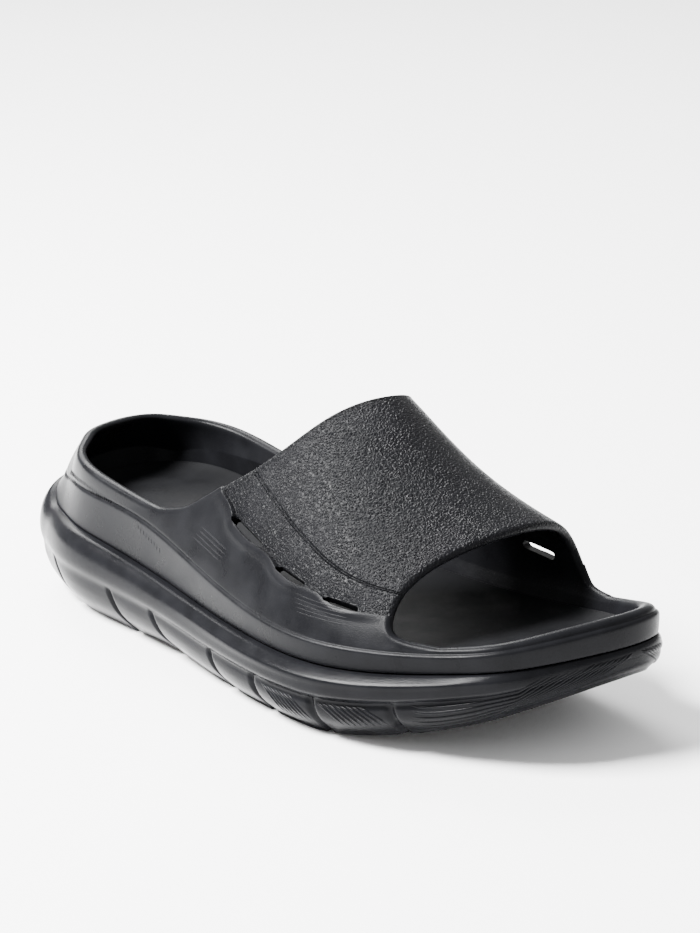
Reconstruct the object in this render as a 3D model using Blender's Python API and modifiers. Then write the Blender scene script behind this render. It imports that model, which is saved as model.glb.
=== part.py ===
"""Sport slide sandal: one moulded upper, a footbed inside its wall and the sole under the seam.

Right shoe. +X runs from the heel to the toe, +Y to the wearer's left (the medial side), +Z up.
The origin is under the middle of the shoe, on the floor. All lengths are in metres.
"""

import math

import bmesh
import bpy
import numpy as np
from mathutils import Vector

# Named sizes.
LENGTH = 0.290
BALL = 0.110
INSTEP = 0.1055
SEAM = 0.0331
STRAP_WALL = 0.0042
PANEL_DEPTH = 0.0011
GAP = 0.0003
BED_GAP = 0.0005
LIP_ROUND = 0.0014
COLLAR_BULGE = 0.0006
BOTTOM_STEP = 0.0006
END_REACH = 0.34 * BALL
# Half step along the seam line for its direction.
NEAR = 0.004
LATERAL = -1
MEDIAL = 1

# Ends of the seam line, as shares of the length.
SEAM_HEEL = 0.0184
SEAM_TOE = 0.9950

# Plan of the seam: share of its length, lateral and medial half widths as shares of the ball width.
PLAN = (
    (0.0, 0.0, 0.0),
    (0.03, 0.252, 0.245),
    (0.08, 0.316, 0.312),
    (0.15, 0.38, 0.352),
    (0.25, 0.399, 0.349),
    (0.38, 0.42, 0.329),
    (0.5, 0.46, 0.333),
    (0.62, 0.494, 0.362),
    (0.72, 0.486, 0.388),
    (0.81, 0.418, 0.397),
    (0.89, 0.32, 0.392),
    (0.95, 0.212, 0.362),
    (0.985, 0.018, 0.309),
    (1.0, -0.176, 0.176),
)
# Heights: share of the length, share of the seam's heel height.
SEAM_HEIGHT = ((0.0, 1.29), (0.03, 1.20), (0.065, 1.04), (0.10, 1.018), (0.212, 0.995), (0.422, 0.835),
               (0.601, 0.78), (0.743, 0.796), (0.88, 0.94), (1.0, 1.13))
FLOOR_HEIGHT = ((0.0, 0.16), (0.05, 0.03), (0.118, -0.02), (0.265, -0.01), (0.391, 0.04), (0.517, -0.01),
                (0.664, -0.02), (0.732, 0.02), (0.828, 0.183), (0.923, 0.467), (1.0, 0.82))
BAND_HEIGHT = ((0.0, 0.2), (0.035, 0.25), (0.075, 0.35), (0.16, 0.44), (0.317, 0.525), (0.475, 0.42),
               (0.632, 0.3), (0.79, 0.257), (0.895, 0.22), (1.0, 0.28))
RIM_HEIGHT = ((0.0, 1.934), (0.05, 1.88), (0.13, 1.80), (0.21, 1.675), (0.3, 1.549), (0.37, 1.53))
# How much higher the rim stands on the medial side, and lower on the lateral side, in metres.
RIM_TILT = 0.0003
# Highest outside line of the strap: share of the length, height as a share of the instep, place across as a
# share of the ball width towards the medial side, and how square the lateral and the medial shoulders are.
CROWN = (
    (0.265, 0.949, 0.042, 2.4, 2.35),
    (0.391, 1.0, 0.15, 2.2, 2.18),
    (0.538, 0.985, 0.142, 1.85, 1.95),
    (0.685, 0.791, 0.105, 1.9, 1.92),
    (0.842, 0.612, 0.155, 2.08, 1.98),
    (0.905, 0.567, 0.165, 2.12, 2.0),
)
# Strap edges: share of the way over the foot, then the rear and the front edge as shares of the length.
STRAP_EDGES = (
    (0.0, 0.339, 0.868),
    (0.02, 0.351, 0.83),
    (0.04, 0.38, 0.814),
    (0.08, 0.418, 0.803),
    (0.2, 0.499, 0.794),
    (0.35, 0.544, 0.807),
    (0.5, 0.567, 0.816),
    (0.65, 0.546, 0.811),
    (0.8, 0.478, 0.806),
    (0.92, 0.405, 0.824),
    (0.96, 0.374, 0.837),
    (0.98, 0.351, 0.85),
    (1.0, 0.339, 0.88),
)
# Lower edge of the grained panel: share of the strap from rear to front, share of the way over the foot.
PANEL_EDGE = ((0.0, 0.128), (0.25, 0.117), (0.5, 0.112), (0.75, 0.107), (1.0, 0.109))
# Depth of the panel's step, as a share of PANEL_DEPTH, against the share of the strap from rear to front.
PANEL_STEP = ((0.0, 0.6), (0.15, 1.0), (0.75, 1.0), (1.0, 0.3))
# Metres out from the seam line, against the share of the length.
SHOULDER_OUT = ((0.0, 0.0051), (0.05, 0.0067), (0.16, 0.0078), (0.475, 0.0067), (0.842, 0.0057), (1.0, 0.0015))
BOTTOM_OUT = ((0.0, -0.0024), (0.265, -0.0027), (0.685, -0.0017), (1.0, -0.0025))
BAND_OUT = ((0.0, -0.0052), (0.055, -0.0036), (0.16, -0.0027), (0.37, -0.0003), (0.685, 0.0024), (1.0, 0.0009))
RIM_OUT = ((0.0, -0.0160), (0.055, -0.0133), (0.13, -0.0047), (0.212, -0.0017), (0.30, -0.0018),
           (0.37, -0.0023))
CREASE_IN = ((0.0, 0.0005), (0.265, 0.0006), (0.475, 0.001), (0.79, 0.0011), (1.0, 0.0013))
TOP_WALL = ((0.0, 0.0046), (0.265, 0.005), (0.391, 0.0043), (0.79, 0.0043), (0.874, 0.005), (1.0, 0.0056))
INSIDE_FOOT = ((0.0, 0.0142), (0.055, 0.0126), (0.212, 0.0076), (0.37, 0.007), (1.0, 0.0072))
# Footbed: thickness at the middle and rise of its edge, against the share of the length.
BED_THICK = ((0.0, 0.0038), (0.075, 0.0046), (0.265, 0.0048), (0.58, 0.0042), (1.0, 0.0036))
BED_CUP = ((0.0, 0.0004), (0.075, 0.0032), (0.16, 0.0040), (0.422, 0.0028), (0.685, 0.0014), (1.0, 0.0008))

# Band of the upper, from the seam up: share of the band's height, metres up, share of BAND_OUT, metres out.
BAND_ROWS = ((0.0, 0.00015, 0.0, -0.0005), (0.0, 0.0008, 0.05, 0.0001), (0.5, 0.0, 0.6, 0.0005),
             (1.0, -0.0011, 1.0, 0.0))
# How deep the valley under the shoulder is, against the share of the length.
VALLEY_IN = ((0.0, 0.0003), (0.265, 0.0007), (0.58, 0.0015), (0.842, 0.0016), (1.0, 0.0002))
# Side of the sole, from the seam down: share of its height, share of SHOULDER_OUT, metres out, then share of
# VALLEY_IN.
SOLE_ROWS = (
    (0.0, 0.02, -0.0008, 0.0),
    (0.03, 0.33, -0.0002, 0.0),
    (0.10, 0.72, 0.0, 0.0),
    (0.19, 0.93, 0.0, 0.0),
    (0.27, 1.0, 0.0, 0.0),
    (0.35, 0.99, 0.0, 0.3),
    (0.43, 0.94, -0.0001, 1.0),
    (0.50, 0.88, -0.0002, 0.45),
    (0.58, 0.79, -0.0003, 0.05),
    (0.76, 0.52, -0.0006, 0.0),
    (0.90, 0.15, -0.0013, 0.0),
    (0.97, 0.0, -0.0019, 0.0),
)
# Lug grooves: share of the length where each starts in the valley, and where it meets the floor.
LUG_GROOVES = ((0.133, 0.157), (0.273, 0.299), (0.372, 0.403), (0.517, 0.540), (0.615, 0.630),
               (0.721, 0.731), (0.822, 0.831))
GROOVE_TOP = 0.41
GROOVE_RADIUS = 0.0013
# Slots at the panel's edge: share of the strap at the rear and front end of each, and its place over the foot.
SLOTS = ((0.175, 0.37, 0.109), (0.50, 0.645, 0.101), (0.75, 0.885, 0.097))
SLOT_WIDTH = 0.0038
SLOT_DEPTH = 4.3 * STRAP_WALL

HEEL_COLUMNS = 16
STRAP_COLUMNS = 16
TOE_COLUMNS = 12
WALL_ROWS = 3
# Rows over the strap: shares of the way up to the panel's edge, then from that edge to the middle.
WING_ROWS = (0.0, 0.052, 0.104, 0.156, 0.36, 0.58, 0.78, 0.955)
PANEL_ROWS = (0.012, 0.08, 0.18, 0.30, 0.43, 0.57, 0.72, 0.86)
SOLE_COLUMNS = 44


def curve(rows, column=1):
    """Smooth curve through one column of a table, against its first column (natural cubic)."""
    at = np.array([row[0] for row in rows], float)
    value = np.array([row[column] for row in rows], float)
    last = len(at) - 1
    step = np.diff(at)
    system = np.eye(last + 1)
    right = np.zeros(last + 1)
    for i in range(1, last):
        system[i, i - 1:i + 2] = step[i - 1], 2 * (step[i - 1] + step[i]), step[i]
        right[i] = 3 * ((value[i + 1] - value[i]) / step[i] - (value[i] - value[i - 1]) / step[i - 1])
    bend = np.linalg.solve(system, right)

    def point(x):
        i = min(max(int(np.searchsorted(at, x)) - 1, 0), last - 1)
        d = x - at[i]
        slope = (value[i + 1] - value[i]) / step[i] - step[i] * (2 * bend[i] + bend[i + 1]) / 3
        return float(value[i] + slope * d + bend[i] * d * d + (bend[i + 1] - bend[i]) / (3 * step[i]) * d ** 3)

    return point


def angle_share(share):
    """Place along the seam for a share of its length: 0 at the heel, 1 at the toe, evenly round the ends."""
    return math.acos(max(-1.0, min(1.0, 1 - 2 * share))) / math.pi


half_width = {
    LATERAL: curve([(angle_share(row[0]), row[1]) for row in PLAN]),
    MEDIAL: curve([(angle_share(row[0]), row[2]) for row in PLAN]),
}
seam_height = curve(SEAM_HEIGHT)
floor_height = curve(FLOOR_HEIGHT)
band_height = curve(BAND_HEIGHT)
rim_height = curve(RIM_HEIGHT)
crown_height = curve(CROWN, 1)
crown_across = curve(CROWN, 2)
squareness = {LATERAL: curve(CROWN, 3), MEDIAL: curve(CROWN, 4)}
rear_edge = curve(STRAP_EDGES, 1)
front_edge = curve(STRAP_EDGES, 2)
panel_edge = curve(PANEL_EDGE)
panel_step = curve(PANEL_STEP)
shoulder_out = curve(SHOULDER_OUT)
bottom_out = curve(BOTTOM_OUT)
valley_in = curve(VALLEY_IN)
band_out = curve(BAND_OUT)
rim_out = curve(RIM_OUT)
crease_in = curve(CREASE_IN)
top_wall = curve(TOP_WALL)
inside_foot = curve(INSIDE_FOOT)
bed_thick = curve(BED_THICK)
bed_cup = curve(BED_CUP)


def along(t):
    """Share of the length at place t of the seam line."""
    return SEAM_HEEL + (SEAM_TOE - SEAM_HEEL) * (1 - math.cos(math.pi * t)) / 2


def place(u):
    """Place t of the seam line at a share u of the length."""
    return angle_share((u - SEAM_HEEL) / (SEAM_TOE - SEAM_HEEL))


def widest(side):
    """Furthest reach of the sole's shoulder to one side of the heel's middle line."""
    return max(half_width[side](i / 200) * BALL + shoulder_out(along(i / 200)) for i in range(201))


MIDDLE_Y = (widest(LATERAL) - widest(MEDIAL)) / 2


def seam_point(side, t):
    return np.array([(along(t) - 0.5) * LENGTH, MIDDLE_Y + side * half_width[side](t) * BALL])


def middle_point(x):
    """Point of the middle line abreast of x, kept back from both ends."""
    x = min(max(x, -LENGTH / 2 + END_REACH), LENGTH / 2 - END_REACH)
    t = place(x / LENGTH + 0.5)
    return np.array([x, (seam_point(LATERAL, t)[1] + seam_point(MEDIAL, t)[1]) / 2])


def offset(side, t, out):
    """Point of the seam line moved in plan: outwards square to it, or inwards to the middle line."""
    here = seam_point(side, t)
    if out < 0:
        way = here - middle_point(here[0])
        return here + out * way / np.linalg.norm(way)
    run = seam_point(side, min(t + NEAR, 1.0)) - seam_point(side, max(t - NEAR, 0.0))
    run /= np.linalg.norm(run)
    return here + out * side * np.array([-run[1], run[0]])


def solid_point(side, t, out, z):
    x, y = offset(side, t, out)
    return (x, y, z)


def seam_z(u):
    return seam_height(u) * SEAM


def band_top(u):
    return seam_z(u) + band_height(u) * SEAM


def band_point(side, t, row, skin):
    """Upper's band between the seam and its top edge. Skin 0 is the outside, 1 the inside."""
    u = along(t)
    low = seam_z(u)
    high = band_top(u)
    if row < len(BAND_ROWS):
        share, up, out_share, out = BAND_ROWS[row]
        z = low + share * (high - low) + up
        outside = out_share * band_out(u) + out
    else:
        z = high
        outside = band_out(u) - crease_in(u)
    if skin:
        return solid_point(side, t, *inside_level(side, t, (z - low) / (high - low)))
    return solid_point(side, t, outside, z)


def foot_z(side, t):
    """Height of the sole's top under the inner foot of the wall."""
    return seam_z(offset(side, t, -inside_foot(along(t)))[0] / LENGTH + 0.5)


def inside_level(side, t, share):
    """Place out from the seam line and height of the wall's inner face, from its foot to the band's top."""
    u = along(t)
    low = -inside_foot(u)
    high = band_out(u) - crease_in(u) - top_wall(u)
    foot = foot_z(side, t)
    return low + (high - low) * share, foot + (band_top(u) - foot) * share


def collar_point(side, t, row, skin):
    """Heel wall between the band and the rim."""
    u = along(t)
    share = row / WALL_ROWS
    low = band_top(u)
    tilt = side * RIM_TILT * math.sin(math.pi * t / place(rear_edge(0.0)))
    z = low + share * (rim_height(u) * SEAM + tilt - low)
    foot = band_out(u) - crease_in(u)
    out = foot + share * (rim_out(u) - foot) + COLLAR_BULGE * math.sin(math.pi * share)
    return solid_point(side, t, out - skin * top_wall(u), z)


def strap_point(s, v, skin, sunk=0.0):
    """Strap: s runs from its rear to its front edge, v over the foot from lateral to medial."""
    u = rear_edge(v) + s * (front_edge(v) - rear_edge(v))
    t = place(u)
    inset = crease_in(u) + sunk + skin * top_wall(u)
    foot = {side: offset(side, t, band_out(u) - inset) for side in (LATERAL, MEDIAL)}
    side = LATERAL if v < 0.5 else MEDIAL
    power = 2 / squareness[side](u)
    over = max(math.sin(math.pi * v), 0.0) ** power
    across = math.copysign(abs(math.cos(math.pi * v)) ** power, math.cos(math.pi * v))
    middle = (foot[LATERAL][1] + foot[MEDIAL][1]) / 2
    half = (foot[MEDIAL][1] - foot[LATERAL][1]) / 2
    y = middle - half * across + (MIDDLE_Y + crown_across(u) * BALL - middle) * over
    x = (u - 0.5) * LENGTH
    x += (foot[side][0] - x) * (1 - over) ** 2
    top = crown_height(u) * INSTEP - sunk - skin * STRAP_WALL
    return (x, y, band_top(u) + (top - band_top(u)) * over)


def over_shares(s):
    """Rows over the strap at s, each with whether it lies on the sunk panel."""
    edge = panel_edge(s)
    half = [(edge * row, False) for row in WING_ROWS]
    half += [(edge + (0.5 - edge) * row, True) for row in PANEL_ROWS]
    return half + [(0.5, True)] + [(1 - v, sunk) for v, sunk in reversed(half)]


def upper_columns(side):
    """Places of the upper's columns along one side, from the heel to the toe."""
    v = 0.0 if side == LATERAL else 1.0
    rear = place(rear_edge(v))
    heel = [rear * i / HEEL_COLUMNS for i in range(HEEL_COLUMNS)]
    reach = front_edge(v) - rear_edge(v)
    strap = [place(rear_edge(v) + reach * i / STRAP_COLUMNS) for i in range(STRAP_COLUMNS)]
    front = place(front_edge(v))
    return heel + strap + [front + (1 - front) * i / TOE_COLUMNS for i in range(TOE_COLUMNS + 1)]


BAND_TOP_ROW = len(BAND_ROWS)
OVER_ROWS = 2 * (len(WING_ROWS) + len(PANEL_ROWS))
LAST_COLUMN = HEEL_COLUMNS + STRAP_COLUMNS + TOE_COLUMNS


def band_key(side, column, row):
    shared = column in (0, LAST_COLUMN)
    return ("band", 0 if shared else side, column, row)


def strap_key(column, row):
    if row == 0:
        return band_key(LATERAL, HEEL_COLUMNS + column, BAND_TOP_ROW)
    if row == OVER_ROWS:
        return band_key(MEDIAL, HEEL_COLUMNS + column, BAND_TOP_ROW)
    return ("strap", column, row)


def collar_key(side, column, row):
    if row == 0:
        return band_key(side, column, BAND_TOP_ROW)
    if column == HEEL_COLUMNS:
        return strap_key(0, row if side == LATERAL else OVER_ROWS - row)
    return ("collar", 0 if column == 0 else side, column, row)


def upper_skin(skin):
    """Named points of one skin of the upper."""
    points = {}
    for side in (LATERAL, MEDIAL):
        for column, t in enumerate(upper_columns(side)):
            for row in range(BAND_TOP_ROW + 1):
                points[band_key(side, column, row)] = band_point(side, t, row, skin)
            if column < HEEL_COLUMNS:
                for row in range(1, WALL_ROWS + 1):
                    points[collar_key(side, column, row)] = collar_point(side, t, row, skin)
    for column in range(STRAP_COLUMNS + 1):
        s = column / STRAP_COLUMNS
        for row, (v, sunk) in enumerate(over_shares(s)):
            if 0 < row < OVER_ROWS:
                depth = PANEL_DEPTH * panel_step(s) if sunk and not skin else 0.0
                points[strap_key(column, row)] = strap_point(s, v, skin, depth)
    return points


def upper_faces():
    faces = []
    for side in (LATERAL, MEDIAL):
        for column in range(LAST_COLUMN):
            for row in range(BAND_TOP_ROW):
                faces.append(quad(band_key, column, row, side))
        for column in range(HEEL_COLUMNS):
            for row in range(WALL_ROWS):
                faces.append(quad(collar_key, column, row, side))
    for column in range(STRAP_COLUMNS):
        for row in range(OVER_ROWS):
            faces.append(quad(strap_key, column, row))
    return faces


def quad(key, column, row, side=None):
    corners = [(column, row), (column + 1, row), (column + 1, row + 1), (column, row + 1)]
    if side is None:
        return [key(*corner) for corner in corners]
    return [key(side, *corner) for corner in corners]


def material(name, colour, roughness):
    made = bpy.data.materials.new(name)
    made.use_nodes = True
    shader = made.node_tree.nodes["Principled BSDF"]
    shader.inputs["Base Color"].default_value = (*colour, 1.0)
    shader.inputs["Roughness"].default_value = roughness
    made.diffuse_color = (*colour, 1.0)
    return made


def add_mesh(name, points, faces, collection):
    """New mesh object with its faces turned outwards."""
    mesh = bpy.data.meshes.new(name)
    mesh.from_pydata([tuple(point) for point in points], [], faces)
    edit = bmesh.new()
    edit.from_mesh(mesh)
    bmesh.ops.recalc_face_normals(edit, faces=edit.faces)
    edit.to_mesh(mesh)
    edit.free()
    mesh.shade_smooth()
    made = bpy.data.objects.new(name, mesh)
    collection.objects.link(made)
    return made


def make_upper(collection):
    """Hollow shell: both skins from the same sections, joined round the seam and the two openings."""
    outside = upper_skin(0)
    inside = upper_skin(1)
    names = list(outside)
    number = {name: i for i, name in enumerate(names)}
    count = len(names)
    faces = [[number[name] for name in face] for face in upper_faces()]
    uses = {}
    for face in faces:
        for pair in zip(face, face[1:] + face[:1]):
            uses.setdefault(frozenset(pair), []).append(pair)
    open_edges = [pairs[0] for pairs in uses.values() if len(pairs) == 1]
    inner = [[i + count for i in reversed(face)] for face in faces]
    lips = [[b, a, a + count, b + count] for a, b in open_edges]
    points = [outside[name] for name in names] + [inside[name] for name in names]
    upper = add_mesh("upper", points, faces + inner + lips, collection)
    seam_row = {number[name] for name in names if name[0] == "band" and name[3] == 0}
    rounded = {frozenset(pair) for pair in open_edges if not seam_row.issuperset(pair)}
    rounded |= {frozenset(i + count for i in pair) for pair in rounded}
    weight = upper.data.attributes.new("bevel_weight_edge", "FLOAT", "EDGE")
    for edge in upper.data.edges:
        weight.data[edge.index].value = 1.0 if frozenset(edge.vertices) in rounded else 0.0
    bevel = upper.modifiers.new("rounded lips", "BEVEL")
    bevel.limit_method = "WEIGHT"
    bevel.width = LIP_ROUND
    bevel.segments = 2
    return upper


def ringed(rows, ring_point, columns):
    """Closed rings of points, row by row: lateral heel to toe, then medial toe to heel."""
    turn = [(LATERAL, t) for t in columns(LATERAL)] + [(MEDIAL, t) for t in reversed(columns(MEDIAL)[1:-1])]
    return [ring_point(row, side, t) for row in range(rows) for side, t in turn]


def ring_faces(rows, columns):
    """Walls between rings, and a strip across the first and the last ring."""
    size = 2 * columns
    faces = []
    for row in range(rows - 1):
        for i in range(size):
            j = (i + 1) % size
            faces.append([row * size + i, row * size + j, (row + 1) * size + j, (row + 1) * size + i])
    for ring in (0, rows - 1):
        base = ring * size
        for i in range(columns):
            strip = [base + i, base + i + 1, base + (size - i - 1) % size, base + (size - i) % size]
            if i == 0:
                strip = [base, base + 1, base + size - 1]
            elif i == columns - 1:
                strip = [base + i, base + i + 1, base + i + 2]
            faces.append(strip)
    return faces


def inward(side, t, out, share):
    """Point on the way from an offset seam point towards the middle line, shortened at both ends."""
    here = offset(side, t, out)
    return here + (middle_point(here[0]) - here) * share


TOP_SHARES = (0.80, 0.55, 0.36, 0.18)
BOTTOM_SHARES = (0.0, 0.10, 0.45, 0.80)


def sole_bottom_z(u):
    return max(floor_height(u) * SEAM, 0.0)


def sole_side_out(u, row):
    """Reach of one row of the sole's side, out from the seam line."""
    share, out_share, out, valley = row
    return out_share * shoulder_out(u) + out - valley * valley_in(u)


def sole_point(row, side, t):
    """Rows from the middle of the top, over the edge and down the side, to the middle of the bottom."""
    u = along(t)
    low = sole_bottom_z(u)
    if row < len(TOP_SHARES):
        x, y = inward(side, t, SOLE_ROWS[0][2], TOP_SHARES[row])
        return (x, y, seam_z(x / LENGTH + 0.5) - GAP / 2)
    row -= len(TOP_SHARES)
    if row < len(SOLE_ROWS):
        z = seam_z(u) - GAP / 2 - SOLE_ROWS[row][0] * (seam_z(u) - low)
        return solid_point(side, t, sole_side_out(u, SOLE_ROWS[row]), z)
    x, y = inward(side, t, bottom_out(u) - BOTTOM_STEP, BOTTOM_SHARES[row - len(SOLE_ROWS)])
    return (x, y, sole_bottom_z(x / LENGTH + 0.5))


def sole_columns(side):
    """Places of the sole's columns, the same on both sides."""
    return [i / SOLE_COLUMNS for i in range(SOLE_COLUMNS + 1)]


def make_sole(collection):
    rows = len(TOP_SHARES) + len(SOLE_ROWS) + len(BOTTOM_SHARES)
    return add_mesh("sole", ringed(rows, sole_point, sole_columns), ring_faces(rows, SOLE_COLUMNS), collection)


BED_ROWS = (("under", 0.80), ("under", 0.45), ("under", 0.20), ("under", 0.0), ("top", 0.0), ("top", 0.06),
            ("top", 0.16), ("top", 0.34), ("top", 0.75))


def bed_point(row, side, t):
    """Rows from the middle of the underside, round the edge, to the middle of the top."""
    where, share = BED_ROWS[row]
    u = along(t)
    if where == "under":
        x, y = inward(side, t, inside_level(side, t, 0.0)[0] - BED_GAP, share)
        return (x, y, seam_z(x / LENGTH + 0.5) + GAP / 2)
    rise = (bed_thick(u) + bed_cup(u)) / (band_top(u) - foot_z(side, t))
    x, y = inward(side, t, inside_level(side, t, rise)[0] - BED_GAP, share)
    v = x / LENGTH + 0.5
    cup = bed_cup(v) * max(1 - share / 0.5, 0.0) ** 2
    return (x, y, seam_z(v) + GAP / 2 + bed_thick(v) + cup)


def make_footbed(collection):
    rows = len(BED_ROWS)
    points = ringed(rows, bed_point, upper_columns)
    return add_mesh("footbed", points, ring_faces(rows, LAST_COLUMN), collection)


def slot_cutter(name, side, rear, front, over, collection):
    """Rounded slot through the strap's wall, square to its surface."""
    v = over if side == LATERAL else 1 - over
    ends = [Vector(strap_point(s, v, 0)) for s in (rear, front)]
    centre = (ends[0] + ends[1]) / 2
    run = (ends[1] - ends[0]).normalized()
    middle = (rear + front) / 2
    rise = Vector(strap_point(middle, v + 0.01, 0)) - Vector(strap_point(middle, v - 0.01, 0))
    through = run.cross(rise).normalized()
    rise = through.cross(run).normalized()
    radius = SLOT_WIDTH / 2
    straight = (ends[1] - ends[0]).length / 2 - radius
    outline = []
    for end, first in ((1, -90), (-1, 90)):
        for step in range(7):
            turn = math.radians(first + 30 * step)
            outline.append((end * straight + radius * math.cos(turn), radius * math.sin(turn)))
    points = []
    for depth in (-SLOT_DEPTH / 2, SLOT_DEPTH / 2):
        points += [centre + run * a + rise * b + through * depth for a, b in outline]
    count = len(outline)
    faces = [list(range(count)), list(range(2 * count - 1, count - 1, -1))]
    faces += [[i, (i + 1) % count, count + (i + 1) % count, count + i] for i in range(count)]
    return add_mesh(name, points, faces, collection)


def groove_path(top, foot):
    """Points of one lug groove: down the lateral side, across the bottom and up the medial side."""
    half = []
    for share in (GROOVE_TOP, 0.58, 0.76, 0.90, 0.97):
        u = top + (foot - top) * (share - GROOVE_TOP) / (1 - GROOVE_TOP)
        row = [share] + [curve(SOLE_ROWS, column)(share) for column in (1, 2, 3)]
        half.append((u, row))
    path = []
    for side in (LATERAL, MEDIAL):
        points = []
        for u, row in half:
            z = seam_z(u) - row[0] * (seam_z(u) - sole_bottom_z(u))
            points.append(solid_point(side, place(u), sole_side_out(u, row), z))
        x, y = inward(side, place(foot), bottom_out(foot), 0.3)
        points.append((x, y, sole_bottom_z(x / LENGTH + 0.5)))
        path += points if side == LATERAL else points[::-1]
    return path


def groove_cutter(name, path, collection):
    """Round bar along a path, as a closed mesh."""
    line = bpy.data.curves.new(name, "CURVE")
    line.dimensions = "3D"
    line.bevel_depth = GROOVE_RADIUS
    line.bevel_resolution = 1
    line.use_fill_caps = True
    spline = line.splines.new("POLY")
    spline.points.add(len(path) - 1)
    for point, place_on_path in zip(spline.points, path):
        point.co = (*place_on_path, 1.0)
    bar = bpy.data.objects.new(name, line)
    collection.objects.link(bar)
    bpy.context.view_layer.update()
    mesh = bpy.data.meshes.new_from_object(bar.evaluated_get(bpy.context.evaluated_depsgraph_get()))
    bpy.data.objects.remove(bar)
    cutter = bpy.data.objects.new(name, mesh)
    collection.objects.link(cutter)
    return cutter


def cut(target, cutter):
    cutter.display_type = "WIRE"
    boolean = target.modifiers.new(cutter.name, "BOOLEAN")
    boolean.operation = "DIFFERENCE"
    boolean.solver = "EXACT"
    boolean.object = cutter


def main():
    for old in list(bpy.data.objects):
        bpy.data.objects.remove(old)
    parts = bpy.data.collections.new("sport slide sandal")
    cutters = bpy.data.collections.new("cutters")
    cutters.hide_render = True
    for collection in (parts, cutters):
        bpy.context.scene.collection.children.link(collection)
    upper = make_upper(parts)
    footbed = make_footbed(parts)
    sole = make_sole(parts)
    upper.data.materials.append(material("upper foam", (0.045, 0.047, 0.052), 0.55))
    footbed.data.materials.append(material("footbed foam", (0.035, 0.036, 0.040), 0.70))
    sole.data.materials.append(material("sole foam", (0.050, 0.052, 0.057), 0.50))
    for side, word in ((LATERAL, "lateral"), (MEDIAL, "medial")):
        for number, (rear, front, over) in enumerate(SLOTS, 1):
            cut(upper, slot_cutter(f"{word} slot {number}", side, rear, front, over, cutters))
    for number, (top, foot) in enumerate(LUG_GROOVES, 1):
        cut(sole, groove_cutter(f"lug groove {number}", groove_path(top, foot), cutters))


main()
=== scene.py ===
"""Sport slide sandal, dressed: moulded upper, footbed, sole with its ribs, and a plain studio floor.

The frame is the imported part. Right shoe, +X to the toe, +Y to the medial side, +Z up, metres throughout.
"""

import math

import bmesh
import bpy
import numpy as np
from mathutils import Matrix, Vector


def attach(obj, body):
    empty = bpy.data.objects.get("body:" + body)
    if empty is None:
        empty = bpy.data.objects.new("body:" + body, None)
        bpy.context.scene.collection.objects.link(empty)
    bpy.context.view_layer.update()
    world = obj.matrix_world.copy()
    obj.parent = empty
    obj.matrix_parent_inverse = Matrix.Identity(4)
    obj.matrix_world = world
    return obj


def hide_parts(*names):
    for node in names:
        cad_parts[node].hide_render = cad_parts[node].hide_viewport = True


bl_info = {
    "name": "Sport Slide Sandal",
    "version": (1, 0, 0),
    "blender": (4, 5, 0),
    "location": "View3D > Sidebar > Sandal",
    "description": "Dresses the sandal's packed solids with its moulded surfaces, ribs and finishes",
    "category": "Object",
}

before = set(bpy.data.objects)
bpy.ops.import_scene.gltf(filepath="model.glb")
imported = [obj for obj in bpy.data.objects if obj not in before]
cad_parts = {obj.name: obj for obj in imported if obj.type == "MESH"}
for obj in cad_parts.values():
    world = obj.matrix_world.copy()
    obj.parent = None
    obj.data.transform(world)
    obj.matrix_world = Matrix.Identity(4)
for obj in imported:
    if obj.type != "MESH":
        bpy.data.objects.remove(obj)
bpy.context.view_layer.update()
BODY = "root"

# Named sizes, as in the part.
LENGTH = 0.290
BALL = 0.110
INSTEP = 0.1055
SEAM = 0.0331
STRAP_WALL = 0.0042
PANEL_DEPTH = 0.0011
GAP = 0.0003
BED_GAP = 0.0005
COLLAR_BULGE = 0.0006
BOTTOM_STEP = 0.0006
END_REACH = 0.34 * BALL
# Half step along the seam line for its direction.
NEAR = 0.004
LATERAL = -1
MEDIAL = 1

# Ends of the seam line, as shares of the length.
SEAM_HEEL = 0.0184
SEAM_TOE = 0.9950

# Plan of the seam: share of its length, lateral and medial half widths as shares of the ball width.
PLAN = (
    (0.0, 0.0, 0.0),
    (0.03, 0.252, 0.245),
    (0.08, 0.316, 0.312),
    (0.15, 0.38, 0.352),
    (0.25, 0.399, 0.349),
    (0.38, 0.42, 0.329),
    (0.5, 0.46, 0.333),
    (0.62, 0.494, 0.362),
    (0.72, 0.486, 0.388),
    (0.81, 0.418, 0.397),
    (0.89, 0.32, 0.392),
    (0.95, 0.212, 0.362),
    (0.985, 0.018, 0.309),
    (1.0, -0.176, 0.176),
)
# Heights: share of the length, share of the seam's heel height.
SEAM_HEIGHT = ((0.0, 1.29), (0.03, 1.20), (0.065, 1.04), (0.10, 1.018), (0.212, 0.995), (0.422, 0.835),
               (0.601, 0.78), (0.743, 0.796), (0.88, 0.94), (1.0, 1.13))
FLOOR_HEIGHT = ((0.0, 0.16), (0.05, 0.03), (0.118, -0.02), (0.265, -0.01), (0.391, 0.04), (0.517, -0.01),
                (0.664, -0.02), (0.732, 0.02), (0.828, 0.183), (0.923, 0.467), (1.0, 0.82))
BAND_HEIGHT = ((0.0, 0.2), (0.035, 0.25), (0.075, 0.35), (0.16, 0.44), (0.317, 0.525), (0.475, 0.42),
               (0.632, 0.3), (0.79, 0.257), (0.895, 0.22), (1.0, 0.28))
RIM_HEIGHT = ((0.0, 1.934), (0.05, 1.88), (0.13, 1.80), (0.21, 1.675), (0.3, 1.549), (0.37, 1.53))
# How much higher the rim stands on the medial side, and lower on the lateral side, in metres.
RIM_TILT = 0.0003
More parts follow.
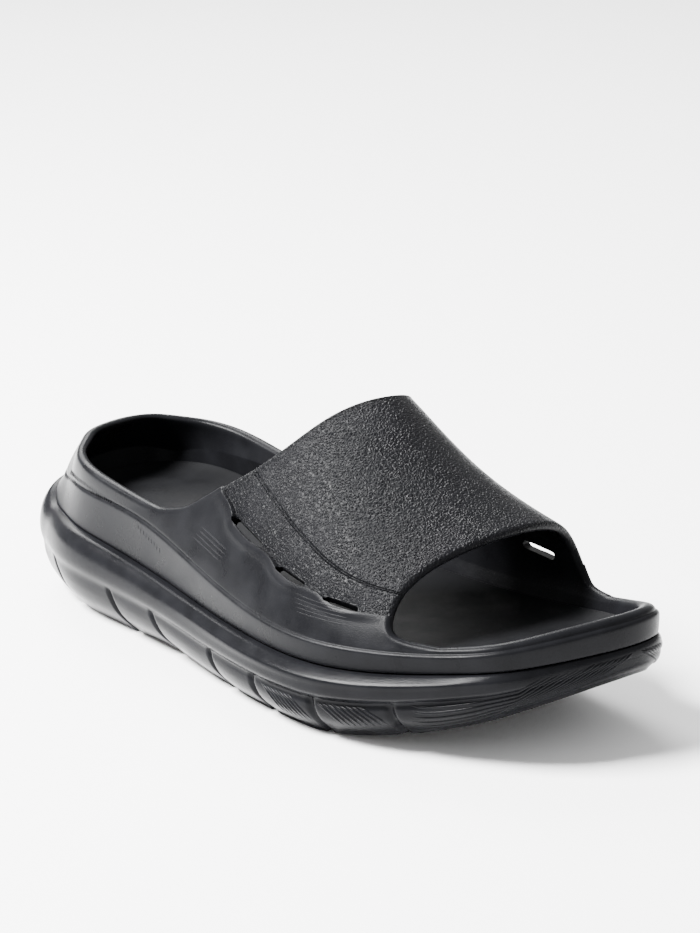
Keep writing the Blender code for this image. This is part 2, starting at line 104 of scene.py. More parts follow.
# Highest outside line of the strap: share of the length, height as a share of the instep, place across as a
# share of the ball width towards the medial side, and how square the lateral and the medial shoulders are.
CROWN = (
    (0.265, 0.949, 0.042, 2.4, 2.35),
    (0.391, 1.0, 0.15, 2.2, 2.18),
    (0.538, 0.985, 0.142, 1.85, 1.95),
    (0.685, 0.791, 0.105, 1.9, 1.92),
    (0.842, 0.612, 0.155, 2.08, 1.98),
    (0.905, 0.567, 0.165, 2.12, 2.0),
)
# Strap edges: share of the way over the foot, then the rear and the front edge as shares of the length.
STRAP_EDGES = (
    (0.0, 0.339, 0.868),
    (0.02, 0.351, 0.83),
    (0.04, 0.38, 0.814),
    (0.08, 0.418, 0.803),
    (0.2, 0.499, 0.794),
    (0.35, 0.544, 0.807),
    (0.5, 0.567, 0.816),
    (0.65, 0.546, 0.811),
    (0.8, 0.478, 0.806),
    (0.92, 0.405, 0.824),
    (0.96, 0.374, 0.837),
    (0.98, 0.351, 0.85),
    (1.0, 0.339, 0.88),
)
# Depth of the panel's step, as a share of PANEL_DEPTH, against the share of the strap from rear to front.
PANEL_STEP = ((0.0, 0.6), (0.15, 1.0), (0.75, 1.0), (1.0, 0.3))
# Metres out from the seam line, against the share of the length.
SHOULDER_OUT = ((0.0, 0.0051), (0.05, 0.0067), (0.16, 0.0078), (0.475, 0.0067), (0.842, 0.0057), (1.0, 0.0015))
BOTTOM_OUT = ((0.0, -0.0024), (0.265, -0.0027), (0.685, -0.0017), (1.0, -0.0025))
BAND_OUT = ((0.0, -0.0052), (0.055, -0.0036), (0.16, -0.0027), (0.37, -0.0003), (0.685, 0.0024), (1.0, 0.0009))
RIM_OUT = ((0.0, -0.0160), (0.055, -0.0133), (0.13, -0.0047), (0.212, -0.0017), (0.30, -0.0018),
           (0.37, -0.0023))
CREASE_IN = ((0.0, 0.0005), (0.265, 0.0006), (0.475, 0.001), (0.79, 0.0011), (1.0, 0.0013))
TOP_WALL = ((0.0, 0.0046), (0.265, 0.005), (0.391, 0.0043), (0.79, 0.0043), (0.874, 0.005), (1.0, 0.0056))
INSIDE_FOOT = ((0.0, 0.0142), (0.055, 0.0126), (0.212, 0.0076), (0.37, 0.007), (1.0, 0.0072))
# Footbed: thickness at the middle and rise of its edge, against the share of the length.
BED_THICK = ((0.0, 0.0038), (0.075, 0.0046), (0.265, 0.0048), (0.58, 0.0042), (1.0, 0.0036))
BED_CUP = ((0.0, 0.0004), (0.075, 0.0032), (0.16, 0.0040), (0.422, 0.0028), (0.685, 0.0014), (1.0, 0.0008))

# How deep the valley under the shoulder is, against the share of the length.
VALLEY_IN = ((0.0, 0.0003), (0.265, 0.0007), (0.58, 0.0015), (0.842, 0.0016), (1.0, 0.0002))
# Lug grooves: share of the length where each starts in the valley, and where it meets the floor.
LUG_GROOVES = ((0.133, 0.157), (0.273, 0.299), (0.372, 0.403), (0.517, 0.540), (0.615, 0.630),
               (0.721, 0.731), (0.822, 0.831))
GROOVE_TOP = 0.41

# Levels of subdivision, and the angle in degrees from which an edge is drawn sharp.
SMOOTHING = 2
SHARP_ANGLE = 45
# The visual upper's grid: columns along the foot and rows up the heel's wall.
HEEL_COLUMNS = 18
STRAP_COLUMNS = 24
TOE_COLUMNS = 14
WALL_ROWS = 4
# Wavy ridge at the wing's top, share of the strap from rear to front against share of the way over the foot.
# It dips under each slot.
WING_RIDGE = (
    (0.0, 0.1280),
    (0.083, 0.1235),
    (0.14, 0.1185),
    (0.17, 0.1125),
    (0.20, 0.1045),
    (0.25, 0.1012),
    (0.32, 0.1010),
    (0.38, 0.1050),
    (0.43, 0.1068),
    (0.47, 0.1045),
    (0.51, 0.0970),
    (0.56, 0.0940),
    (0.62, 0.0940),
    (0.67, 0.0985),
    (0.71, 0.1003),
    (0.74, 0.0980),
    (0.78, 0.0905),
    (0.83, 0.0885),
    (0.88, 0.0895),
    (0.94, 0.0950),
    (1.0, 0.0985),
)
# Double line pressed into the grained panel, in the same shares.
PANEL_LINE = ((0.0, 0.1885), (0.117, 0.182), (0.258, 0.177), (0.392, 0.172), (0.517, 0.169), (0.633, 0.164),
              (0.717, 0.1615), (0.808, 0.159), (0.883, 0.1595), (1.0, 0.165))
# Slots: rear and front end as shares of the strap, place over the foot.
SLOTS = ((0.175, 0.37, 0.109), (0.50, 0.645, 0.101), (0.75, 0.885, 0.097))
SLOT_WIDTH = 0.0029
# Rise of a slot outwards through the wall, as a slope.
SLOT_TILT = {LATERAL: 0.5, MEDIAL: 0.0}
SLOT_DEPTH = 4.3 * STRAP_WALL
# Dish round a slot: share of the strap past the slot's ends, share of the way over above the slot, half width in
# metres.
DISH_END = 0.025
DISH_RISE = 0.002
DISH_HALF_WIDTH = 0.0052
# Ribs between the middle grooves: share of the length after each rib's start, share of the side's height.
DIAGONAL_FALL = ((0.0, 0.47), (0.012, 0.52), (0.022, 0.595), (0.031, 0.69), (0.037, 0.79), (0.041, 0.87))
DIAGONAL_STARTS = ((0.634, 0.683), (0.727, 0.788))
DIAGONAL_STEP = 0.0078
# Ribs in front of the last groove: how each rises to its end, place before it against share of the height.
TOE_RISE = ((0.0, 0.18), (0.02, 0.38), (0.04, 0.58), (0.06, 0.73), (0.08, 0.84), (0.10, 0.92))
TOE_LINES = 13
TOE_LINES_START = 0.840
TOE_FIRST_END = 0.888
TOE_STEP = 0.0088
TOE_FIRST_LEVEL = 0.44
TOE_LEVEL_STEP = 0.09
TOE_START_DIP = 0.12
TOE_START_REACH = 0.014
RIB_LOWEST = 0.90
# Beads on the wing: first and last place (share of the strap, share of the way over), and their number.
WING_BEADS = (((0.110, 0.0560), (0.288, 0.0610), 4), ((0.626, 0.0780), (0.862, 0.0860), 5))
WING_BEAD_STEP = 0.0080
WING_BEAD_LAG = 0.010
# Strokes on the heel: place along the seam line and metres above the band's top, then their length and number.
HEEL_STROKES = (
    (((0.185, 0.0020), (0.22, 0.0022), (0.26, 0.0022), (0.30, 0.0005), (0.318, -0.0004)), 0.0036, 34),
    (((0.372, -0.0036), (0.41, -0.0064)), 0.0034, 9),
)
# Rows over half the strap: shares of the way to the ridge, steps from the ridge, shares from there to the line,
# steps from the line, and shares from there to the middle.
WING_SHARES = [0.156 * i / WALL_ROWS for i in range(WALL_ROWS + 1)] + [0.24, 0.34, 0.45, 0.56, 0.67, 0.77, 0.85]
RIDGE_STEPS = (-0.0095, -0.006, -0.0035, -0.0015, 0.0005, 0.0025, 0.0045, 0.007)
BETWEEN_SHARES = (0.25, 0.5, 0.75)
LINE_STEPS = (-0.009, -0.0065, -0.0045, -0.002, 0.0, 0.002, 0.0045, 0.0065, 0.009)
TOP_SHARES = (0.12, 0.27, 0.44, 0.62, 0.81)
# Where the shares between ridge and line start, and how far the line's own steps reach.
BETWEEN_START = RIDGE_STEPS[-1]
LINE_REACH = LINE_STEPS[-1]
# Rough length over the foot, for turning shares into metres.
STRAP_ARC = 0.215
# How far the rounded lips reach past the skins' own edge, in metres.
LIP_REACH = 0.0020

# The visual band from the seam up to its crisp top edge: share of the band's height, metres up, share of
# BAND_OUT, metres out, and the share of BAND_OUT that is added where the band stands out.
BAND_ROWS = (
    (0.0, 0.00015, 0.0, 0.0, 0.2),
    (0.0, 0.0003, 0.0, 0.0003, 0.5),
    (0.0, 0.0009, 0.06, 0.0005, 0.55),
    (1.0, -0.0022, 1.0, 0.0002, 0.0),
    (1.0, -0.0008, 1.0, 0.0001, 0.0),
    (1.0, -0.0002, 1.0, -0.0013, 0.0),
)
# The visual side of the sole, which starts right at the band's outer face: share of the side's height down from
# the seam, share of SHOULDER_OUT, metres out, and share of VALLEY_IN.
SOLE_ROWS = (
    (0.0, 0.30, 0.0, 0.0),
    (0.012, 0.44, 0.0, 0.0),
    (0.04, 0.61, 0.0, 0.0),
    (0.10, 0.81, 0.0, 0.0),
    (0.19, 0.95, 0.0, 0.0),
    (0.27, 1.0, 0.0, 0.0),
    (0.35, 0.99, 0.0, 0.3),
    (0.43, 0.94, -0.0001, 1.0),
    (0.50, 0.88, -0.0002, 0.45),
    (0.58, 0.79, -0.0003, 0.05),
    (0.76, 0.52, -0.0006, 0.0),
    (0.90, 0.15, -0.0013, 0.0),
    (0.97, 0.0, -0.0019, 0.0),
)
# Fuller shoulder in front: metres out, its place and half width as shares of the side's height, and where along
# the length it grows and fades.
SHOULDER_FILL = 0.0011
FILL_PLACE = 0.125
FILL_WIDTH = 0.065
FILL_GROWS = (0.40, 0.60)
FILL_FADES = (0.86, 0.96)


def curve(rows, column=1):
    """Smooth curve through one column of a table, against its first column (natural cubic)."""
    at = np.array([row[0] for row in rows], float)
    value = np.array([row[column] for row in rows], float)
    last = len(at) - 1
    step = np.diff(at)
    system = np.eye(last + 1)
    right = np.zeros(last + 1)
    for i in range(1, last):
        system[i, i - 1:i + 2] = step[i - 1], 2 * (step[i - 1] + step[i]), step[i]
        right[i] = 3 * ((value[i + 1] - value[i]) / step[i] - (value[i] - value[i - 1]) / step[i - 1])
    bend = np.linalg.solve(system, right)

    def point(x):
        i = min(max(int(np.searchsorted(at, x)) - 1, 0), last - 1)
        d = x - at[i]
        slope = (value[i + 1] - value[i]) / step[i] - step[i] * (2 * bend[i] + bend[i + 1]) / 3
        return float(value[i] + slope * d + bend[i] * d * d + (bend[i + 1] - bend[i]) / (3 * step[i]) * d ** 3)

    return point


def angle_share(share):
    """Place along the seam for a share of its length: 0 at the heel, 1 at the toe, evenly round the ends."""
    return math.acos(max(-1.0, min(1.0, 1 - 2 * share))) / math.pi


half_width = {
    LATERAL: curve([(angle_share(row[0]), row[1]) for row in PLAN]),
    MEDIAL: curve([(angle_share(row[0]), row[2]) for row in PLAN]),
}
seam_height = curve(SEAM_HEIGHT)
floor_height = curve(FLOOR_HEIGHT)
band_height = curve(BAND_HEIGHT)
rim_height = curve(RIM_HEIGHT)
crown_height = curve(CROWN, 1)
crown_across = curve(CROWN, 2)
squareness = {LATERAL: curve(CROWN, 3), MEDIAL: curve(CROWN, 4)}
rear_edge = curve(STRAP_EDGES, 1)
front_edge = curve(STRAP_EDGES, 2)
panel_step = curve(PANEL_STEP)
shoulder_out = curve(SHOULDER_OUT)
bottom_out = curve(BOTTOM_OUT)
valley_in = curve(VALLEY_IN)
band_out = curve(BAND_OUT)
rim_out = curve(RIM_OUT)
crease_in = curve(CREASE_IN)
top_wall = curve(TOP_WALL)
inside_foot = curve(INSIDE_FOOT)
bed_thick = curve(BED_THICK)
bed_cup = curve(BED_CUP)


def along(t):
    """Share of the length at place t of the seam line."""
    return SEAM_HEEL + (SEAM_TOE - SEAM_HEEL) * (1 - math.cos(math.pi * t)) / 2


def place(u):
    """Place t of the seam line at a share u of the length."""
    return angle_share((u - SEAM_HEEL) / (SEAM_TOE - SEAM_HEEL))


def widest(side):
    """Furthest reach of the sole's shoulder to one side of the heel's middle line."""
    return max(half_width[side](i / 200) * BALL + shoulder_out(along(i / 200)) for i in range(201))


MIDDLE_Y = (widest(LATERAL) - widest(MEDIAL)) / 2


def seam_point(side, t):
    return np.array([(along(t) - 0.5) * LENGTH, MIDDLE_Y + side * half_width[side](t) * BALL])


def middle_point(x):
    """Point of the middle line abreast of x, kept back from both ends."""
    x = min(max(x, -LENGTH / 2 + END_REACH), LENGTH / 2 - END_REACH)
    t = place(x / LENGTH + 0.5)
    return np.array([x, (seam_point(LATERAL, t)[1] + seam_point(MEDIAL, t)[1]) / 2])


def offset(side, t, out):
    """Point of the seam line moved in plan: outwards square to it, or inwards to the middle line."""
    here = seam_point(side, t)
    if out < 0:
        way = here - middle_point(here[0])
        return here + out * way / np.linalg.norm(way)
    run = seam_point(side, min(t + NEAR, 1.0)) - seam_point(side, max(t - NEAR, 0.0))
    run /= np.linalg.norm(run)
    return here + out * side * np.array([-run[1], run[0]])


def solid_point(side, t, out, z):
    x, y = offset(side, t, out)
    return (x, y, z)


def seam_z(u):
    return seam_height(u) * SEAM


def band_top(u):
    return seam_z(u) + band_height(u) * SEAM


def band_point(side, t, row, skin):
    """Upper's band between the seam and its top edge. Skin 0 is the outside, 1 the inside."""
    u = along(t)
    low = seam_z(u)
    high = band_top(u)
    if row < len(BAND_ROWS):
        share, up, out_share, out, front = BAND_ROWS[row]
        z = low + share * (high - low) + up
        outside = out_share * band_out(u) + out + front * max(band_out(u), 0.0)
    else:
        z = high
        outside = band_out(u) - crease_in(u)
    if skin:
        return solid_point(side, t, *inside_level(side, t, (z - low) / (high - low)))
    return solid_point(side, t, outside, z)


def foot_z(side, t):
    """Height of the sole's top under the inner foot of the wall."""
    return seam_z(offset(side, t, -inside_foot(along(t)))[0] / LENGTH + 0.5)


def inside_level(side, t, share):
    """Place out from the seam line and height of the wall's inner face, from its foot to the band's top."""
    u = along(t)
    low = -inside_foot(u)
    high = band_out(u) - crease_in(u) - top_wall(u)
    foot = foot_z(side, t)
    return low + (high - low) * share, foot + (band_top(u) - foot) * share


def strap_point(s, v, skin):
    """Strap: s runs from its rear to its front edge, v over the foot from lateral to medial."""
    u = rear_edge(v) + s * (front_edge(v) - rear_edge(v))
    t = place(u)
    inset = crease_in(u) + skin * top_wall(u)
    foot = {side: offset(side, t, band_out(u) - inset) for side in (LATERAL, MEDIAL)}
    side = LATERAL if v < 0.5 else MEDIAL
    power = 2 / squareness[side](u)
    over = max(math.sin(math.pi * v), 0.0) ** power
    across = math.copysign(abs(math.cos(math.pi * v)) ** power, math.cos(math.pi * v))
    middle = (foot[LATERAL][1] + foot[MEDIAL][1]) / 2
    half = (foot[MEDIAL][1] - foot[LATERAL][1]) / 2
    y = middle - half * across + (MIDDLE_Y + crown_across(u) * BALL - middle) * over
    x = (u - 0.5) * LENGTH
    x += (foot[side][0] - x) * (1 - over) ** 2
    top = crown_height(u) * INSTEP - skin * STRAP_WALL
    return (x, y, band_top(u) + (top - band_top(u)) * over)


def inward(side, t, out, share):
    """Point on the way from an offset seam point towards the middle line, shortened at both ends."""
    here = offset(side, t, out)
    return here + (middle_point(here[0]) - here) * share


def sole_bottom_z(u):
    return max(floor_height(u) * SEAM, 0.0)


def sole_side_out(u, row):
    """Reach of one row of the sole's side, out from the seam line."""
    share, out_share, out, valley = row
    return out_share * shoulder_out(u) + out - valley * valley_in(u) + shoulder_fill(share, u)


wing_ridge = curve(WING_RIDGE)
panel_line = curve(PANEL_LINE)


def smooth(value, low, high):
    """Soft step from 0 at low to 1 at high, on numbers or arrays."""
    share = np.clip((value - low) / (high - low), 0.0, 1.0)
    return share * share * (3 - 2 * share)


def over_shares(s):
    """Places over the foot of every row at s, denser at the wing's ridge and the panel's line."""
    ridge = wing_ridge(s)
    line = panel_line(s)
    low = ridge + BETWEEN_START
    high = line - LINE_REACH
    half = [ridge * share for share in WING_SHARES]
    half += [ridge + step for step in RIDGE_STEPS]
    half += [low + (high - low) * share for share in BETWEEN_SHARES]
    half += [line + step for step in LINE_STEPS]
    half += [line + LINE_REACH + (0.5 - line - LINE_REACH) * share for share in TOP_SHARES]
    return half + [0.5] + [1 - v for v in reversed(half)]


def upper_columns(side):
    """Places of the upper's columns along one side, from the heel to the toe."""
    v = 0.0 if side == LATERAL else 1.0
    rear = place(rear_edge(v))
    front = place(front_edge(v))
    length = front_edge(v) - rear_edge(v)
    heel = [rear * i / HEEL_COLUMNS for i in range(HEEL_COLUMNS)]
    strap = [place(rear_edge(v) + length * i / STRAP_COLUMNS) for i in range(STRAP_COLUMNS)]
    return heel + strap + [front + (1 - front) * i / TOE_COLUMNS for i in range(TOE_COLUMNS + 1)]


LAST_COLUMN = HEEL_COLUMNS + STRAP_COLUMNS + TOE_COLUMNS
BAND_TOP_ROW = len(BAND_ROWS)
OVER_ROWS = len(over_shares(0.0)) - 1


def strap_length(v):
    """Rough length of the strap from rear to front edge at v."""
    return (front_edge(v) - rear_edge(v)) * LENGTH


def strap_run(v, column):
    """Share s of a column, held back at both edges for the rounded lip."""
    share = column / STRAP_COLUMNS
    half = min(v, 1 - v)
    corner = over_shares(0.0)[WALL_ROWS]
    rear = LIP_REACH / strap_length(v) * float(smooth(half, corner, corner + 0.02))
    front = LIP_REACH / strap_length(v) * float(smooth(half, 0.0, 0.02))
    return rear + (1 - rear - front) * share


def skin_points(skin):
    """Points of one skin by name, with each point's place on the strap: (run, over, on the strap)."""
    points = {}
    for side in (LATERAL, MEDIAL):
        rear = place(rear_edge(0.0))
        join = [strap_row_point(0, row if side == LATERAL else OVER_ROWS - row, skin)[0]
                for row in range(WALL_ROWS + 1)]
        for column, t in enumerate(upper_columns(side)):
            for row in range(BAND_TOP_ROW + 1):
                points[band_key(side, column, row)] = (band_point(side, t, row, skin), (0.0, 0.0, 0.0))
            if column < HEEL_COLUMNS:
                for row in range(1, WALL_ROWS + 1):
                    point = wall_point(side, t, row, skin)
                    end = wall_point(side, rear, row, skin)
                    share = float(smooth(t / rear, 0.45, 1.0))
                    moved = [a + (b - c) * share for a, b, c in zip(point, join[row], end)]
                    points[collar_key(side, column, row)] = (moved, (0.0, 0.0, 0.0))
    for column in range(STRAP_COLUMNS + 1):
        for row in range(1, OVER_ROWS):
            points[strap_key(column, row)] = strap_row_point(column, row, skin)
    return points


def strap_row_point(column, row, skin):
    v = over_shares(column / STRAP_COLUMNS)[row]
    s = strap_run(v, column)
    return (strap_point(s, v, skin), (s, v, 1.0))


def wall_point(side, t, row, skin):
    """Heel wall between the band and just under the rim, where the rounded lip starts."""
    u = along(t)
    tilt = side * RIM_TILT * math.sin(math.pi * t / place(rear_edge(0.0)))
    low = band_top(u)
    high = rim_height(u) * SEAM + tilt
    share = row / WALL_ROWS * (1 - LIP_REACH / (high - low))
    foot = band_out(u) - crease_in(u)
    out = foot + share * (rim_out(u) - foot) + COLLAR_BULGE * math.sin(math.pi * share)
    return solid_point(side, t, out - skin * top_wall(u), low + share * (high - low))


def band_key(side, column, row):
    shared = column in (0, LAST_COLUMN)
    return ("band", 0 if shared else side, column, row)


def strap_key(column, row):
    if row == 0:
        return band_key(LATERAL, HEEL_COLUMNS + column, BAND_TOP_ROW)
    if row == OVER_ROWS:
        return band_key(MEDIAL, HEEL_COLUMNS + column, BAND_TOP_ROW)
    return ("strap", column, row)


def collar_key(side, column, row):
    if row == 0:
        return band_key(side, column, BAND_TOP_ROW)
    if column == HEEL_COLUMNS:
        return strap_key(0, row if side == LATERAL else OVER_ROWS - row)
    return ("collar", 0 if column == 0 else side, column, row)


def patch_faces():
    """Named quads of one skin: the band all round, the heel's wall and the strap."""
    def corners(column, row):
        return ((column, row), (column + 1, row), (column + 1, row + 1), (column, row + 1))

    faces = []
    for side in (LATERAL, MEDIAL):
        for column in range(LAST_COLUMN):
            faces += [[band_key(side, *at) for at in corners(column, row)] for row in range(BAND_TOP_ROW)]
        for column in range(HEEL_COLUMNS):
            faces += [[collar_key(side, *at) for at in corners(column, row)] for row in range(WALL_ROWS)]
    for column in range(STRAP_COLUMNS):
        faces += [[strap_key(*at) for at in corners(column, row)] for row in range(OVER_ROWS)]
    return faces


def base_upper():
    """Coarse closed shell of the upper: points, faces and the strap place of every point."""
    skins = [skin_points(skin) for skin in (0, 1)]
    names = list(skins[0])
    number = {name: i for i, name in enumerate(names)}
    count = len(names)
    outer = np.array([skins[0][name][0] for name in names])
    inner = np.array([skins[1][name][0] for name in names])
    spots = np.array([skins[0][name][1] for name in names])
    faces = [[number[name] for name in face] for face in patch_faces()]
    uses = {}
    around = {}
    for face in faces:
        for a, b in zip(face, face[1:] + face[:1]):
            uses.setdefault(frozenset((a, b)), []).append((a, b, face))
            around.setdefault(a, set()).update(face)
    seam = {number[name] for name in names if name[0] == "band" and name[3] == 0}
    edges = [found[0][:2] for found in uses.values() if len(found) == 1]
    lip_points = sorted({i for a, b in edges if not seam.issuperset((a, b)) for i in (a, b)})
    middle = (outer + inner) / 2
    beside = {i: set() for i in lip_points}
    for a, b in edges:
        if a in beside and b in beside:
            beside[a].add(b)
            beside[b].add(a)
    extra = []
    ring = {}
    for i in lip_points:
        across = inner[i] - outer[i]
        inward_points = [j for j in around[i] if j not in beside or j == i]
        inward_points = [j for j in inward_points if j != i] or [j for j in around[i] if j != i]
        out = middle[i] - np.mean([middle[j] for j in inward_points], axis=0)
        if len(beside[i]) == 2:
            a, b = beside[i]
            run = middle[b] - middle[a]
            out -= run * np.dot(out, run) / np.dot(run, run)
        out -= across * np.dot(out, across) / np.dot(across, across)
        out /= np.linalg.norm(out)
        ring[i] = []
        for turn in (35, 90, 145):
            turn = math.radians(turn)
            point = middle[i] + out * LIP_REACH * math.sin(turn) - across / 2 * math.cos(turn)
            ring[i].append(2 * count + len(extra))
            extra.append((point, spots[i], 0.5 + 0.5 * math.cos(turn)))
    shell = list(faces)
    shell += [[i + count for i in reversed(face)] for face in faces]
    for a, b in edges:
        if a in seam and b in seam:
            shell.append([b, a, a + count, b + count])
            continue
        rows_a = [a] + ring.get(a, []) + [a + count]
        rows_b = [b] + ring.get(b, []) + [b + count]
        shell += [[rows_b[k], rows_a[k], rows_a[k + 1], rows_b[k + 1]] for k in range(len(rows_a) - 1)]
    points = np.concatenate([outer, inner, np.array([item[0] for item in extra])])
    places = np.concatenate([spots, spots, np.array([item[1] for item in extra])])
    outside = np.concatenate([np.ones(count), np.zeros(count), np.array([item[2] for item in extra])])
    return points, shell, places, outside


def new_piece(name, points, faces):
    """Mesh object with its faces turned outwards, linked to the scene."""
    mesh = bpy.data.meshes.new(name)
    mesh.from_pydata([tuple(point) for point in points], [], faces)
    edit = bmesh.new()
    edit.from_mesh(mesh)
    bmesh.ops.recalc_face_normals(edit, faces=edit.faces)
    edit.to_mesh(mesh)
    edit.free()
    mesh.shade_smooth()
    made = bpy.data.objects.new(name, mesh)
    bpy.context.scene.collection.objects.link(made)
    return made


def add_value(mesh, name, values):
    mesh.attributes.new(name, "FLOAT", "POINT").data.foreach_set("value", np.asarray(values, dtype=np.float32))


def read_value(mesh, name):
    values = np.empty(len(mesh.vertices), dtype=np.float32)
    mesh.attributes[name].data.foreach_get("value", values)
    return values.astype(float)


def read_points(mesh):
    points = np.empty(len(mesh.vertices) * 3)
    mesh.vertices.foreach_get("co", points)
    normals = np.empty(len(mesh.vertices) * 3)
    mesh.vertex_normals.foreach_get("vector", normals)
    return points.reshape(-1, 3), normals.reshape(-1, 3)


def settle(piece):
    """Turns a piece with modifiers into the plain mesh that they make."""
    made = piece.evaluated_get(bpy.context.evaluated_depsgraph_get())
    mesh = bpy.data.meshes.new_from_object(made)
    piece.modifiers.clear()
    old = piece.data
    piece.data = mesh
    bpy.data.meshes.remove(old)
    mesh.name = piece.name
    return piece


def smoothed(piece):
    rounding = piece.modifiers.new("smoothing", "SUBSURF")
    rounding.levels = SMOOTHING
    rounding.render_levels = SMOOTHING
    return settle(piece)


def table_at(function, values):
    """A curve of the tables read at many values, through a fine list."""
    fine = np.linspace(0.0, 1.0, 401)
    return np.interp(values, fine, [function(x) for x in fine])


def panel_relief(run, over, sizes):
    """Depth of the strap's moulded detail, in metres, and how far a point belongs to the grained panel."""
    half = np.minimum(over, 1 - over)
    past = (half - table_at(wing_ridge, run)) * STRAP_ARC
    on_panel = smooth(past, -0.0003, 0.0004)
    sunk = PANEL_DEPTH * table_at(panel_step, run)
    depth = -sunk * on_panel * smooth(run, 0.0, 0.04)
    ends = smooth(run, 0.0, 0.05) * (1 - smooth(run, 0.84, 1.0)) * np.where(over > 0.5, 0.4, 1.0)
    depth += sizes.ridge_height * smooth(past, -sizes.ridge_width, -0.0010) * (1 - on_panel) * ends
    line = (half - table_at(panel_line, run)) * STRAP_ARC
    for offset_line in (-0.5, 0.5):
        groove = (line + offset_line * sizes.line_spacing) / (sizes.line_width / 2)
        depth -= sizes.line_depth * np.exp(-groove ** 2)
    for rear, front, middle in SLOTS:
        along_slot = (run - (rear + front) / 2) / ((front - rear) / 2 + DISH_END)
        across_slot = (half - middle - DISH_RISE) * STRAP_ARC / DISH_HALF_WIDTH
        dish = np.clip(1 - along_slot ** 2 - across_slot ** 2, 0.0, 1.0)
        depth -= sizes.slot_dish * smooth(dish, 0.0, 0.9)
    return depth, on_panel


def slot_cutters():
    """One mesh of all six slots, each a rounded bar square to the strap."""
    points = []
    faces = []
    for side in (LATERAL, MEDIAL):
        for rear, front, over in SLOTS:
            v = over if side == LATERAL else 1 - over
            ends = [Vector(strap_point(s, v, 0)) for s in (rear, front)]
            centre = (ends[0] + ends[1]) / 2
            run = (ends[1] - ends[0]).normalized()
            mid = (rear + front) / 2
            rise = Vector(strap_point(mid, v + 0.01, 0)) - Vector(strap_point(mid, v - 0.01, 0))
            through = run.cross(rise).normalized()
            rise = through.cross(run).normalized()
            outwards = math.copysign(1.0, through.y * side)
            through = (through * outwards + rise * math.copysign(SLOT_TILT[side], rise.z)).normalized()
            radius = SLOT_WIDTH / 2
            straight = (ends[1] - ends[0]).length / 2 - radius
            outline = []
            for end, first in ((1, -90), (-1, 90)):
                for step in range(11):
                    turn = math.radians(first + 18 * step)
                    outline.append((end * straight + radius * math.cos(turn), radius * math.sin(turn)))
            base = len(points)
            count = len(outline)
            for depth in (-SLOT_DEPTH / 2, SLOT_DEPTH / 2):
                points += [centre + run * a + rise * b + through * depth for a, b in outline]
            faces += [[base + i for i in range(count)], [base + i for i in range(2 * count - 1, count - 1, -1)]]
            faces += [[base + i, base + (i + 1) % count, base + count + (i + 1) % count, base + count + i]
                      for i in range(count)]
    return new_piece("slot_cutter", points, faces)


def make_upper(sizes):
    points, faces, places, outside = base_upper()
    piece = new_piece("sandal_upper", points, faces)
    add_value(piece.data, "run", places[:, 0])
    add_value(piece.data, "over", places[:, 1])
    add_value(piece.data, "strap", places[:, 2])
    add_value(piece.data, "outside", outside)
    smoothed(piece)
    mesh = piece.data
    co, normals = read_points(mesh)
    on_strap = smooth(read_value(mesh, "strap"), 0.5, 1.0) * smooth(read_value(mesh, "outside"), 0.0, 1.0)
    depth, on_panel = panel_relief(read_value(mesh, "run"), read_value(mesh, "over"), sizes)
    co += normals * (depth * on_strap)[:, None]
    mesh.vertices.foreach_set("co", co.ravel())
    add_value(mesh, "grain", on_panel * on_strap)
    cutter = slot_cutters()
    slots = piece.modifiers.new("slots", "BOOLEAN")
    slots.operation = "DIFFERENCE"
    slots.solver = "EXACT"
    slots.object = cutter
    settle(piece)
    bpy.data.objects.remove(cutter)
    piece.data.set_sharp_from_angle(angle=math.radians(SHARP_ANGLE))
    return piece


# Rows of the footbed: which face, and the share of the way inwards.
BED_ROWS = (("under", 0.80), ("under", 0.3), ("under", 0.0), ("top", 0.0), ("top", 0.03), ("top", 0.09),
            ("top", 0.18), ("top", 0.32), ("top", 0.52), ("top", 0.8))


def bed_point(row, side, t):
    """Rows from the middle of the underside, round the edge, to the middle of the top."""
    where, share = BED_ROWS[row]
    u = along(t)
    if where == "under":
        x, y = inward(side, t, inside_level(side, t, 0.0)[0] - BED_GAP, share)
        return (x, y, seam_z(x / LENGTH + 0.5) + GAP / 2)
    rise = (bed_thick(u) + bed_cup(u)) / (band_top(u) - foot_z(side, t))
    x, y = inward(side, t, inside_level(side, t, rise)[0] - BED_GAP, share)
    v = x / LENGTH + 0.5
    cup = bed_cup(v) * max(1 - share / 0.5, 0.0) ** 2
    return (x, y, seam_z(v) + GAP / 2 + bed_thick(v) + cup)


def ring_mesh(name, rows, ring_point, places):
    """Closed body from rings of points, closed by a strip across its first and last ring."""
    columns = len(places) - 1
    size = 2 * columns
    turn = [(LATERAL, t) for t in places] + [(MEDIAL, t) for t in reversed(places[1:-1])]
    points = [ring_point(row, side, t) for row in range(rows) for side, t in turn]
    faces = []
    for row in range(rows - 1):
        for i in range(size):
            j = (i + 1) % size
            faces.append([row * size + i, row * size + j, (row + 1) * size + j, (row + 1) * size + i])
    for ring in (0, rows - 1):
        base = ring * size
        faces.append([base, base + 1, base + size - 1])
        for i in range(1, columns - 1):
            faces.append([base + i, base + i + 1, base + size - i - 1, base + size - i])
        faces.append([base + columns - 1, base + columns, base + columns + 1])
    return new_piece(name, points, faces)


def make_footbed():
    piece = ring_mesh("sandal_footbed", len(BED_ROWS), bed_point, upper_columns(LATERAL))
    return smoothed(piece)


def shoulder_fill(share, u):
    """How much fuller the sole's shoulder is just under the band, towards the front."""
    front = float(smooth(u, *FILL_GROWS) * (1 - smooth(u, *FILL_FADES)))
    return SHOULDER_FILL * front * math.exp(-((share - FILL_PLACE) / FILL_WIDTH) ** 2)


side_curves = [curve(SOLE_ROWS, column) for column in (1, 2, 3)]
